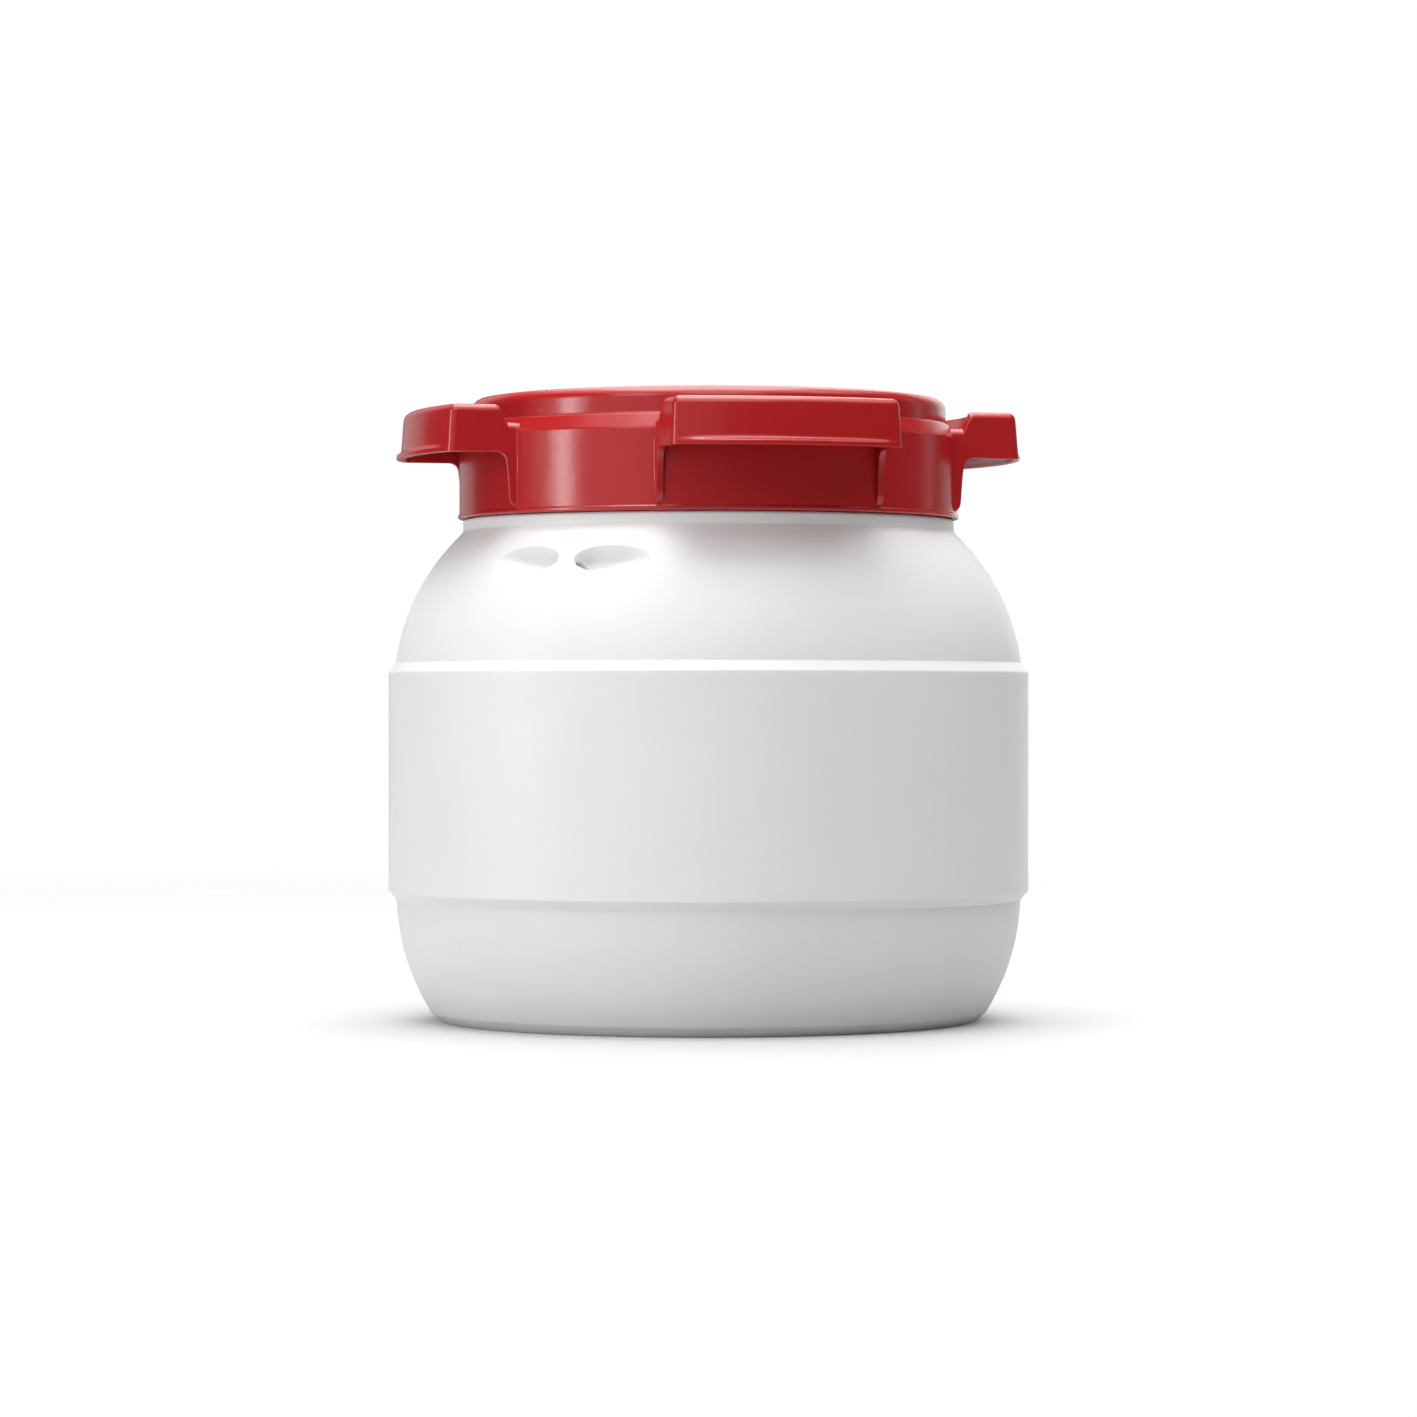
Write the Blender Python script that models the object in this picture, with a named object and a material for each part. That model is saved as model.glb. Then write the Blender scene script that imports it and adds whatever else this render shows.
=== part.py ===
"""Wide-mouth plastic paint jar of about 3.6 litres, at rest with its lid screwed down.

Three pieces: a blow-moulded jar body, a four-lug screw lid and the flat gasket in the lid.
Metres, +Z up. The origin is the middle of the standing ring, and the jar's axis is the Z axis.
Angles are compass-like: 0 is the front (-Y) and they grow towards +X.
"""

import math

import bmesh
import bpy
from mathutils import Matrix, Vector

# --- jar body -------------------------------------------------------------------------------
WALL = 0.0021
BAND_RADIUS = 0.0950
BAND_BOTTOM = 0.0386
BAND_TOP = 0.1032
BAND_STEP = 0.0024
BAND_CHAMFER_RISE = 0.0028
BAND_LIP = 0.0002
STANDING_RING_OUTER = 0.0794
STANDING_RING_INNER = 0.0750
BASE_ROLL_RADIUS = 0.0826
BASE_ROLL_HEIGHT = 0.0028
BASE_ROLL_BULGE = 0.0004
BASE_ROLL_KNEE = 0.0011
PUSH_UP_RADIUS = 0.0718
PUSH_UP_HEIGHT = 0.0046
BOWL_RADIUS = 0.0654
BOWL_CENTRE = (0.0272, 0.0377)
SHOULDER_RADIUS = 0.0643
SHOULDER_CENTRE = (0.0291, 0.0975)
COLLAR_RADIUS = 0.0729
COLLAR_TOP = 0.1484
COLLAR_ROUND = 0.0012
NECK_RADIUS = 0.0679
NECK_BORE_RADIUS = 0.0657
RIM_HEIGHT = 0.1790
RIM_CHAMFER = 0.0006

# --- seal eye: two finger dimples in the shoulder with a drilled bridge between them -----------
EYE_ANGLE = math.radians(-30.0)
EYE_HEIGHT = 0.1342
DIMPLE_HALF = (0.0118, 0.0060, 0.0050)
DIMPLE_OFFSET = 0.0141
BRIDGE_BOSS_HALF = (0.0090, 0.0075, 0.0068)
EYE_HOLE_RADIUS = 0.0015
EYE_HOLE_DEPTH = 0.0025
EYE_HOLE_LENGTH = 0.0120

# --- thread: two starts, right-handed ----------------------------------------------------------
THREAD_LEAD = 0.0120
THREAD_STARTS = 2
THREAD_FIRST_ANGLE = math.radians(8.0)
THREAD_SWEEP = math.radians(300.0)
THREAD_BASE_HALF = 0.0014
THREAD_CREST_HALF = 0.0007
THREAD_SINK = 0.0007
THREAD_RUN_OUT = math.radians(24.0)
THREAD_END_HEIGHT = 0.15
NECK_THREAD_CREST = 0.0703
NECK_THREAD_BOTTOM = 0.1585
LID_THREAD_CREST = 0.0694
LID_THREAD_DROP = 0.0026
LID_THREAD_LAG = math.radians(100.0)

# --- lid ---------------------------------------------------------------------------------------
LID_WALL = 0.0020
SKIRT_RADIUS = 0.0740
SKIRT_BOTTOM = 0.1492
SKIRT_TOP = 0.1721
BEAD_RADIUS = 0.0743
BEAD_HEIGHT = 0.0014
CONE_TOP = 0.1764
CONE_TOP_RADIUS = 0.0714
DISC_RADIUS = 0.0705
DISC_EDGE_ROUND = 0.0033
DISC_EDGE_STEPS = 3
LID_TOP = 0.1841
TOP_RING_INNER = 0.0585
PANEL_RECESS = 0.0012
PANEL_WALL = 0.0022
DISC_BORE_RADIUS = 0.0685
GROOVE_CEILING = 0.1816
PLUG_INNER = 0.0618
PLUG_OUTER = 0.0634
PLUG_BOTTOM = 0.1763

# --- four grip lugs on the lid -------------------------------------------------------------------
LUG_COUNT = 4
FIRST_LUG_ANGLE = math.radians(15.4)
LUG_HALF_WIDTH = 0.0333
LUG_BOTTOM = 0.1661
LUG_TOP = 0.1800
LUG_FACE = 0.0903
LUG_FACE_CURVE = 0.1100
LUG_DRAFT = 0.0010
LUG_EDGE = 0.0022
LUG_WALL = 0.0017
LUG_SLOPE_TOP = 0.0791
LUG_SLOPE_FOOT = 0.0769
LUG_LEDGE = 0.1749
LIP_RADIUS = 0.0926
LIP_HEIGHT = 0.0023
LIP_FADE = 0.0070
LUG_ROOT = 0.00025
RIB_WIDTH = 0.0018
RIB_PROUD = 0.0027
RIB_BOTTOM = 0.1522
RIB_GUSSET = 0.0030
RIB_SET_IN = 0.0001

# --- gasket ----------------------------------------------------------------------------------------
GASKET_INNER = 0.0638
GASKET_OUTER = 0.0681
GASKET_BOTTOM = 0.1793
GASKET_TOP = 0.1813
GASKET_CHAMFER = 0.0003

# --- facets -----------------------------------------------------------------------------------------
FACETS_ROUND = 64
ARC_STEPS = 6
LUG_STEPS = 10


def clear_scene():
    for thing in list(bpy.data.objects):
        bpy.data.objects.remove(thing, do_unlink=True)


def plastic(name, colour, roughness):
    material = bpy.data.materials.new(name)
    material.use_nodes = True
    shader = material.node_tree.nodes["Principled BSDF"]
    shader.inputs["Base Color"].default_value = (*colour, 1.0)
    shader.inputs["Roughness"].default_value = roughness
    shader.inputs["Metallic"].default_value = 0.0
    return material


def make_object(name, mesh_builder, material=None):
    """A named object from a bmesh, with its faces turned outwards and round faces shaded smooth."""
    bmesh.ops.recalc_face_normals(mesh_builder, faces=mesh_builder.faces)
    mesh = bpy.data.meshes.new(name)
    mesh_builder.to_mesh(mesh)
    mesh_builder.free()
    mesh.shade_smooth()
    mesh.set_sharp_from_angle(angle=math.radians(32.0))
    thing = bpy.data.objects.new(name, mesh)
    bpy.context.scene.collection.objects.link(thing)
    if material:
        mesh.materials.append(material)
    return thing


def arc(centre, radius, start, end, steps):
    """Points of an arc in the (radius, height) plane, from angle start to angle end in radians."""
    return [
        (
            centre[0] + radius * math.cos(start + (end - start) * step / steps),
            centre[1] + radius * math.sin(start + (end - start) * step / steps),
        )
        for step in range(steps + 1)
    ]


def angle_at_height(centre, radius, height):
    return math.asin((height - centre[1]) / radius)


def angle_at_radius(centre, radius, distance):
    return math.acos((distance - centre[0]) / radius)


def turned(name, outline, material=None):
    """A solid of revolution about Z. The outline is a closed loop, or starts and ends on the axis."""
    builder = bmesh.new()
    points = [builder.verts.new((radius, 0.0, height)) for radius, height in outline]
    edges = [builder.edges.new(pair) for pair in zip(points, points[1:])]
    if outline[0][0] > 0.0:
        edges.append(builder.edges.new((points[-1], points[0])))
    bmesh.ops.spin(
        builder,
        geom=points + edges,
        axis=(0.0, 0.0, 1.0),
        cent=(0.0, 0.0, 0.0),
        steps=FACETS_ROUND,
        angle=math.tau,
        use_merge=True,
    )
    bmesh.ops.remove_doubles(builder, verts=builder.verts, dist=1e-6)
    return make_object(name, builder, material)


def lofted(name, sections, material=None):
    """A closed solid through equal-sized loops of points, capped at the first and last loop."""
    builder = bmesh.new()
    rings = [[builder.verts.new(point) for point in section] for section in sections]
    for ring, following in zip(rings, rings[1:]):
        for index in range(len(ring)):
            other = (index + 1) % len(ring)
            builder.faces.new((ring[index], ring[other], following[other], following[index]))
    builder.faces.new(rings[0])
    builder.faces.new(rings[-1])
    builder.normal_update()
    bmesh.ops.triangulate(builder, faces=builder.faces)
    return make_object(name, builder, material)


def boolean(target, operation, tool):
    """Joins the tool to the target, or cuts it away, and hides the tool."""
    modifier = target.modifiers.new(f"{operation.lower()}_{tool.name}", "BOOLEAN")
    modifier.operation = operation
    modifier.solver = "EXACT"
    modifier.object = tool
    tool.hide_render = True
    tool.display_type = "WIRE"


def outer_outline():
    """The jar's outside from the middle of the base up to the middle of the mouth."""
    lower_edge = BAND_RADIUS - BAND_STEP
    bowl_start = angle_at_height(BOWL_CENTRE, BOWL_RADIUS, BASE_ROLL_HEIGHT)
    bowl_end = angle_at_height(BOWL_CENTRE, BOWL_RADIUS, BAND_BOTTOM - BAND_CHAMFER_RISE)
    shoulder_start = angle_at_height(SHOULDER_CENTRE, SHOULDER_RADIUS, BAND_TOP + BAND_CHAMFER_RISE)
    shoulder_end = angle_at_radius(SHOULDER_CENTRE, SHOULDER_RADIUS, COLLAR_RADIUS)
    return [
        (0.0, PUSH_UP_HEIGHT),
        (PUSH_UP_RADIUS, PUSH_UP_HEIGHT),
        (STANDING_RING_INNER, 0.0),
        (STANDING_RING_OUTER, 0.0),
        ((STANDING_RING_OUTER + BASE_ROLL_RADIUS) / 2 + BASE_ROLL_BULGE, BASE_ROLL_KNEE),
        *arc(BOWL_CENTRE, BOWL_RADIUS, bowl_start, bowl_end, ARC_STEPS),
        (lower_edge, BAND_BOTTOM - BAND_CHAMFER_RISE + BAND_LIP),
        (BAND_RADIUS, BAND_BOTTOM),
        (BAND_RADIUS, BAND_TOP),
        *arc(SHOULDER_CENTRE, SHOULDER_RADIUS, shoulder_start, shoulder_end, ARC_STEPS + 3),
        (COLLAR_RADIUS, COLLAR_TOP - COLLAR_ROUND),
        (COLLAR_RADIUS - COLLAR_ROUND, COLLAR_TOP),
        (NECK_RADIUS, COLLAR_TOP),
        (NECK_RADIUS, RIM_HEIGHT - RIM_CHAMFER),
        (NECK_RADIUS - RIM_CHAMFER, RIM_HEIGHT),
        (0.0, RIM_HEIGHT),
    ]


def inner_outline():
    """The hollow of the jar, from the middle of its floor up past the mouth."""
    bowl_start = angle_at_height(BOWL_CENTRE, BOWL_RADIUS - WALL, BASE_ROLL_HEIGHT + WALL)
    bowl_end = angle_at_height(BOWL_CENTRE, BOWL_RADIUS - WALL, BAND_BOTTOM - BAND_CHAMFER_RISE)
    shoulder_start = angle_at_height(
        SHOULDER_CENTRE, SHOULDER_RADIUS - WALL, BAND_TOP + BAND_CHAMFER_RISE
    )
    shoulder_end = angle_at_radius(SHOULDER_CENTRE, SHOULDER_RADIUS - WALL, NECK_BORE_RADIUS)
    return [
        (0.0, PUSH_UP_HEIGHT + WALL),
        (PUSH_UP_RADIUS + WALL * 0.6, PUSH_UP_HEIGHT + WALL),
        (STANDING_RING_INNER + WALL * 0.7, WALL),
        (STANDING_RING_OUTER - WALL * 0.3, WALL),
        *arc(BOWL_CENTRE, BOWL_RADIUS - WALL, bowl_start, bowl_end, ARC_STEPS - 1),
        (BAND_RADIUS - WALL, BAND_BOTTOM + WALL * 0.4),
        (BAND_RADIUS - WALL, BAND_TOP - WALL * 0.4),
        *arc(SHOULDER_CENTRE, SHOULDER_RADIUS - WALL, shoulder_start, shoulder_end, ARC_STEPS + 1),
        (NECK_BORE_RADIUS, RIM_HEIGHT + WALL),
        (0.0, RIM_HEIGHT + WALL),
    ]


def eye_frame():
    """The seal eye's frame on the shoulder: X along the jar's girth, Y up the slope, Z outwards."""
    slope = angle_at_height(SHOULDER_CENTRE, SHOULDER_RADIUS, EYE_HEIGHT)
    radius = SHOULDER_CENTRE[0] + SHOULDER_RADIUS * math.cos(slope)
    facing = Matrix.Rotation(EYE_ANGLE, 4, "Z")
    place = Matrix.Translation((0.0, -radius, EYE_HEIGHT))
    lean = Matrix.Rotation(math.pi / 2 - slope, 4, "X")
    return facing @ place @ lean


def ellipsoid(name, half_sizes, offset):
    """A faceted ellipsoid in the seal eye's frame, `offset` along the girth from its middle."""
    builder = bmesh.new()
    bmesh.ops.create_uvsphere(builder, u_segments=20, v_segments=10, radius=1.0)
    turn = Matrix.Rotation(offset / BAND_RADIUS, 4, "Y")
    place = eye_frame() @ turn @ Matrix.Translation((offset, 0.0, 0.0))
    bmesh.ops.transform(builder, matrix=place @ Matrix.Diagonal((*half_sizes, 1.0)), verts=builder.verts)
    return make_object(name, builder)


def eye_hole():
    builder = bmesh.new()
    bmesh.ops.create_cone(
        builder,
        cap_ends=True,
        segments=12,
        radius1=EYE_HOLE_RADIUS,
        radius2=EYE_HOLE_RADIUS,
        depth=EYE_HOLE_LENGTH,
        matrix=eye_frame()
        @ Matrix.Translation((0.0, 0.0, -EYE_HOLE_DEPTH))
        @ Matrix.Rotation(math.pi / 2, 4, "Y"),
    )
    return make_object("cutter_eye_hole", builder)


def thread_ridge(name, base_radius, crest_radius, bottom, start_angle):
    """One helical ridge of trapezoid section, rising counter-clockwise seen from above."""
    outwards = 1.0 if crest_radius > base_radius else -1.0
    root = base_radius - outwards * THREAD_SINK
    steps = round(THREAD_SWEEP / math.tau * FACETS_ROUND)
    sections = []
    for step in range(steps + 1):
        turn = THREAD_SWEEP * step / steps
        to_end = min(turn, THREAD_SWEEP - turn)
        height = min(1.0, THREAD_END_HEIGHT + to_end / THREAD_RUN_OUT)
        crest = base_radius + (crest_radius - base_radius) * height
        middle = bottom + THREAD_LEAD * turn / math.tau
        angle = start_angle + turn
        section = [
            (root, middle - THREAD_BASE_HALF),
            (crest, middle - THREAD_CREST_HALF),
            (crest, middle + THREAD_CREST_HALF),
            (root, middle + THREAD_BASE_HALF),
        ]
        sections.append([(r * math.cos(angle), r * math.sin(angle), z) for r, z in section])
    return lofted(name, sections)


def make_jar_body():
    white = plastic("white_hdpe", (0.80, 0.80, 0.79), 0.42)
    body = turned("jar_body", outer_outline(), white)
    hollow = turned("cutter_hollow", inner_outline())
    for start in range(THREAD_STARTS):
        ridge = thread_ridge(
            f"neck_thread_{start + 1}",
            NECK_RADIUS,
            NECK_THREAD_CREST,
            NECK_THREAD_BOTTOM,
            THREAD_FIRST_ANGLE + start * math.tau / THREAD_STARTS,
        )
        boolean(body, "UNION", ridge)
    keep = [DIMPLE_HALF[axis] + WALL for axis in range(3)]
    for side, offset in (("left", -DIMPLE_OFFSET), ("right", DIMPLE_OFFSET)):
        boolean(body, "DIFFERENCE", ellipsoid(f"cutter_{side}_dimple", DIMPLE_HALF, offset))
        boolean(hollow, "DIFFERENCE", ellipsoid(f"keep_{side}_dimple", keep, offset))
    boolean(hollow, "DIFFERENCE", ellipsoid("keep_bridge", BRIDGE_BOSS_HALF, 0.0))
    boolean(body, "DIFFERENCE", hollow)
    boolean(body, "DIFFERENCE", eye_hole())
    return body


def lid_outline():
    """The lid's section: up its outside, across the top, and back down its inside."""
    cone_run = SKIRT_RADIUS - CONE_TOP_RADIUS
    cone_rise = CONE_TOP - SKIRT_TOP
    inner_skirt = SKIRT_RADIUS - LID_WALL
    cone_foot = SKIRT_TOP - LID_WALL * cone_run / (cone_rise + math.hypot(cone_run, cone_rise))
    cone_head = cone_foot + (inner_skirt - DISC_BORE_RADIUS) * cone_rise / cone_run
    edge_centre = (DISC_RADIUS - DISC_EDGE_ROUND, LID_TOP - DISC_EDGE_ROUND)
    panel = LID_TOP - PANEL_RECESS
    return [
        (0.0, panel),
        (TOP_RING_INNER - PANEL_RECESS, panel),
        (TOP_RING_INNER, LID_TOP),
        *reversed(arc(edge_centre, DISC_EDGE_ROUND, 0.0, math.pi / 2, DISC_EDGE_STEPS)),
        (DISC_RADIUS, CONE_TOP),
        (CONE_TOP_RADIUS, CONE_TOP),
        (SKIRT_RADIUS, SKIRT_TOP),
        (SKIRT_RADIUS, SKIRT_BOTTOM + BEAD_HEIGHT),
        (BEAD_RADIUS, SKIRT_BOTTOM + BEAD_HEIGHT / 2),
        (SKIRT_RADIUS, SKIRT_BOTTOM),
        (inner_skirt, SKIRT_BOTTOM),
        (inner_skirt, cone_foot),
        (DISC_BORE_RADIUS, cone_head),
        (DISC_BORE_RADIUS, GROOVE_CEILING),
        (PLUG_OUTER, GROOVE_CEILING),
        (PLUG_OUTER, PLUG_BOTTOM),
        (PLUG_INNER, PLUG_BOTTOM),
        (PLUG_INNER, panel - PANEL_WALL),
        (0.0, panel - PANEL_WALL),
    ]


def reach(radius, across):
    """How far out a circle about the jar's axis is, in a plane `across` from a lug's middle."""
    return math.sqrt(radius**2 - across**2)


def lug_face(across, inset=0.0):
    curve = LUG_FACE_CURVE - inset
    return LUG_FACE - LUG_FACE_CURVE + math.sqrt(curve**2 - across**2)


def lug_section(across):
    """The outside of a lug in one upright plane: bottom, lip, face, top, inner slope and ledge."""
    face = lug_face(across)
    fade = min(1.0, (LUG_HALF_WIDTH - abs(across)) / LIP_FADE)
    lip = face + LUG_ROOT + (reach(LIP_RADIUS, across) - face) * math.sin(fade * math.pi / 2)
    high = face - LUG_DRAFT
    return [
        (reach(SKIRT_RADIUS - LID_WALL / 2, across), SKIRT_TOP),
        (reach(SKIRT_RADIUS - LID_WALL / 2, across), LUG_BOTTOM),
        (lip, LUG_BOTTOM),
        (lip, LUG_BOTTOM + LIP_HEIGHT * 0.45),
        (face, LUG_BOTTOM + LIP_HEIGHT),
        (high, LUG_TOP - LUG_EDGE),
        (high - LUG_EDGE * 0.3, LUG_TOP - LUG_EDGE * 0.3),
        (high - LUG_EDGE, LUG_TOP),
        (reach(LUG_SLOPE_TOP, across), LUG_TOP),
        (reach(LUG_SLOPE_FOOT, across), LUG_LEDGE),
        (reach(CONE_TOP_RADIUS, across), LUG_LEDGE),
    ]


def lug_hollow_section(across):
    """The hollow under a lug, open at the bottom."""
    face = lug_face(across, LUG_WALL)
    high = face - LUG_DRAFT
    inner = reach(SKIRT_RADIUS + LUG_ROOT, across)
    return [
        (inner, LUG_BOTTOM - LUG_WALL),
        (face, LUG_BOTTOM - LUG_WALL),
        (high, LUG_TOP - LUG_EDGE),
        (high - LUG_EDGE + LUG_WALL / 2, LUG_TOP - LUG_WALL),
        (reach(LUG_SLOPE_TOP + LUG_WALL / 2, across), LUG_TOP - LUG_WALL),
        (reach(LUG_SLOPE_FOOT + LUG_WALL / 2, across), LUG_LEDGE - LUG_WALL),
        (inner, LUG_LEDGE - LUG_WALL),
    ]


def rib_section(across):
    """A rib under a lug's side wall: it runs down the skirt and fades into the bottom bead."""
    skirt = reach(SKIRT_RADIUS, across)
    outer = skirt + RIB_PROUD
    bend = arc((outer + RIB_GUSSET, LUG_BOTTOM - RIB_GUSSET), RIB_GUSSET, math.pi, math.pi / 2, 3)
    return [
        (skirt - LID_WALL / 2, RIB_BOTTOM),
        (skirt + LUG_ROOT, RIB_BOTTOM),
        (outer, RIB_BOTTOM + RIB_PROUD * 1.5),
        *[(distance, height + RIB_SET_IN) for distance, height in bend],
        (outer + RIB_GUSSET, LUG_BOTTOM + LUG_WALL / 2),
        (skirt - LID_WALL / 2, LUG_BOTTOM + LUG_WALL / 2),
    ]


def lug_piece(name, section, half_span, middle, angle, steps):
    """Lofts a section across a lug, centred `middle` from its mid plane, at the lug's angle."""
    turn = Matrix.Rotation(angle, 4, "Z")
    sections = []
    for step in range(steps + 1):
        across = middle + half_span * (2.0 * step / steps - 1.0)
        sections.append([turn @ Vector((across, -out, height)) for out, height in section(across)])
    return lofted(name, sections)


def make_screw_lid():
    red = plastic("red_polypropylene", (0.43, 0.016, 0.022), 0.30)
    lid = turned("screw_lid", lid_outline(), red)
    rib_middle = LUG_HALF_WIDTH - RIB_WIDTH / 2 - RIB_SET_IN
    for lug in range(LUG_COUNT):
        angle = FIRST_LUG_ANGLE + lug * math.tau / LUG_COUNT
        block = lug_piece(f"lug_{lug + 1}", lug_section, LUG_HALF_WIDTH, 0.0, angle, LUG_STEPS)
        boolean(lid, "UNION", block)
        inside = LUG_HALF_WIDTH - LUG_WALL
        hollow = lug_piece(f"cutter_lug_{lug + 1}", lug_hollow_section, inside, 0.0, angle, LUG_STEPS)
        boolean(lid, "DIFFERENCE", hollow)
        for side in (-1, 1):
            name = f"rib_{lug + 1}_{'right' if side > 0 else 'left'}"
            rib = lug_piece(name, rib_section, RIB_WIDTH / 2, side * rib_middle, angle, 1)
            boolean(lid, "UNION", rib)
    for start in range(THREAD_STARTS):
        ridge = thread_ridge(
            f"lid_thread_{start + 1}",
            SKIRT_RADIUS - LID_WALL,
            LID_THREAD_CREST,
            NECK_THREAD_BOTTOM - LID_THREAD_DROP - THREAD_LEAD * LID_THREAD_LAG / math.tau,
            THREAD_FIRST_ANGLE + start * math.tau / THREAD_STARTS - LID_THREAD_LAG,
        )
        boolean(lid, "UNION", ridge)
    return lid


def make_gasket():
    rubber = plastic("gasket_rubber", (0.62, 0.62, 0.60), 0.62)
    chamfer = GASKET_CHAMFER
    outline = [
        (GASKET_INNER + chamfer, GASKET_BOTTOM),
        (GASKET_OUTER - chamfer, GASKET_BOTTOM),
        (GASKET_OUTER, GASKET_BOTTOM + chamfer),
        (GASKET_OUTER, GASKET_TOP - chamfer),
        (GASKET_OUTER - chamfer, GASKET_TOP),
        (GASKET_INNER + chamfer, GASKET_TOP),
        (GASKET_INNER, GASKET_TOP - chamfer),
        (GASKET_INNER, GASKET_BOTTOM + chamfer),
    ]
    return turned("lid_gasket", outline, rubber)


def main():
    clear_scene()
    pieces = [make_jar_body(), make_screw_lid(), make_gasket()]
    axis = bpy.data.objects.new("jar_axis", None)
    bpy.context.scene.collection.objects.link(axis)
    for piece in pieces:
        piece.parent = axis


main()
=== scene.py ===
"""The wide-mouth paint jar: a white blow-moulded body, a red four-lug screw lid and its gasket.

The pieces are drawn in millimetres and scaled when a mesh is made; the materials and the studio
are in metres. Angles are compass-like: 0 is the front (-Y) and they grow towards +X. Each lug is
drawn in its own frame, with `across` along its face and `out` away from the jar's axis.
"""

import math

import bmesh
import bpy
import numpy as np
from mathutils import Matrix, Vector


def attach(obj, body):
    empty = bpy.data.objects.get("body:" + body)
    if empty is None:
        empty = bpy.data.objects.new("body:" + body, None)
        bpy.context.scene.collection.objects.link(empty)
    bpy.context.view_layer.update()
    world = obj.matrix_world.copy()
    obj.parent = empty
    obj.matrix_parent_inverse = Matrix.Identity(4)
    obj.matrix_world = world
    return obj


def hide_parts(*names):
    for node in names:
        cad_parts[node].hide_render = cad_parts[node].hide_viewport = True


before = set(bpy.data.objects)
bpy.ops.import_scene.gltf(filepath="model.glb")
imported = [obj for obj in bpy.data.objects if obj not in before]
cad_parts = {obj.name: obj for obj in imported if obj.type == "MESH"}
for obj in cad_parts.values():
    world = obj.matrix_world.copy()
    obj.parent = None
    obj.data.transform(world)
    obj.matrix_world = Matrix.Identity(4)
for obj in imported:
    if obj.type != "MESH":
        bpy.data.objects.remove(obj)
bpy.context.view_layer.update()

MM = 0.001

# --- jar body ---------------------------------------------------------------------------------
WALL = 2.1
BAND_RADIUS = 95.0
BAND_BOTTOM = 38.6
BAND_TOP = 103.2
BOWL_RADIUS = 65.4
BOWL_CENTRE = (27.2, 37.7)
LOW_CHAMFER = 36.0
HIGH_CHAMFER = 106.0
SHOULDER_RADIUS = 64.3
SHOULDER_CENTRE = (29.1, 97.5)
NECK_BORE = 65.7
COLLAR_RADIUS = 72.9
COLLAR_TOP = 148.5
RIM_HEIGHT = 179.0
FLOOR_HEIGHT = 6.7
PUSH_UP = 4.6
FINE_STEP = 0.3  # steps round the jar, in degrees
COARSE_STEP = 1.5
LEAST_STEP = 0.12
SEAM_HEIGHT = 0.11
SEAM_WIDTH = 0.0042  # radians round the jar
SEAM_INNER_RADIUS = 78.0
SEAM_BEARINGS = (90.0, -90.0)

# --- seal eye ---------------------------------------------------------------------------------
EYE_ANGLE = math.radians(-29.7)
EYE_HEIGHT = 134.2
DIMPLE_CENTRE = (14.7, -0.2)
DIMPLE_HALF = (12.3, 5.7)
DIMPLE_TILT = math.radians(-5.0)
DIMPLE_DEEPEST = (9.0, 1.2)
DIMPLE_DEPTH = 4.4
DIMPLE_OUTER_SWELL = 1.2
DIMPLE_LOW_SWELL = 0.6
DIMPLE_INNER_PINCH = 2.3
DIMPLE_SOFT_FROM = (-135.0, -70.0)  # in degrees, as are the two below
DIMPLE_SOFT_TO = (-15.0, 22.0)
EYE_BEARINGS = (-57.0, -3.0)
EYE_HALF_WIDTH = 32.0
EYE_ZONE = (122.0, 144.0)
EYE_HOLE_RADIUS = 1.8
EYE_HOLE_UP = -0.7
EYE_HOLE_DEPTH = -2.7
BACKING_HALF = (31.0, 10.5)
BACKING_UP = -0.3
BACKING_DEPTH = 4.4
BACKING_ZONE = (118.0, 147.0)

# --- threads ----------------------------------------------------------------------------------
THREAD_LEAD = 12.0
THREAD_STARTS = 2
THREAD_FIRST_ANGLE = math.radians(98.0)
THREAD_SWEEP = math.radians(300.0)
THREAD_RUN_OUT = math.radians(24.0)
THREAD_STEPS = 200
NECK_RADIUS = 67.9
NECK_THREAD_CREST = 70.3
NECK_THREAD_BOTTOM = 158.5
LID_BORE = 72.0
LID_THREAD_CREST = 69.4
LID_THREAD_DROP = 2.6
LID_THREAD_LAG = math.radians(100.0)

# --- lugs -------------------------------------------------------------------------------------
LUG_ANGLES = [math.radians(15.15 + 90.0 * turn) for turn in range(4)]
LUG_TOP = 180.0
LUG_BOTTOM = 166.1
LUG_LEDGE = 174.9
LUG_EDGE = 2.2
LUG_HALF_WIDTH = 33.0
LUG_INSET = LUG_HALF_WIDTH - LUG_EDGE
LUG_FACE = 90.0
LUG_FACE_CURVE = 110.0
LUG_FACE_DRAFT = 1.0
LUG_SIDE_DRAFT = 0.6
RIB_TAPER = 0.015
ROOT_FILLET = 0.8
ROOT_FILLET_START = 66.6
ROOT_FILLET_TOP = (170.5, 173.0)
ROOT_FILLET_FOOT = (150.0, 163.0)
ROOT_FILLET_FOOT_SHARE = 0.4
LUG_WALL = 1.8
LUG_ROOF = 1.7
LIP_RADIUS = 92.6
LIP_FADE = 7.0
ROOF_ARC_RADIUS = 80.2
CORNER_STEPS = 6
FACE_COLUMNS = 31
WALL_ROWS = 5
EDGE_ROWS = 6

# --- lid --------------------------------------------------------------------------------------
SKIRT_RADIUS = 74.0
BEAD_RADIUS = 74.4
LID_FOOT = 148.65
LID_TOP = 184.1
LID_COLUMNS = 384
GASKET_COLUMNS = 256


# --- meshes -----------------------------------------------------------------------------------
def smoothstep(low, high, value):
    share = np.clip((value - low) / (high - low), 0.0, 1.0)
    return share * share * (3.0 - 2.0 * share)


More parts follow.
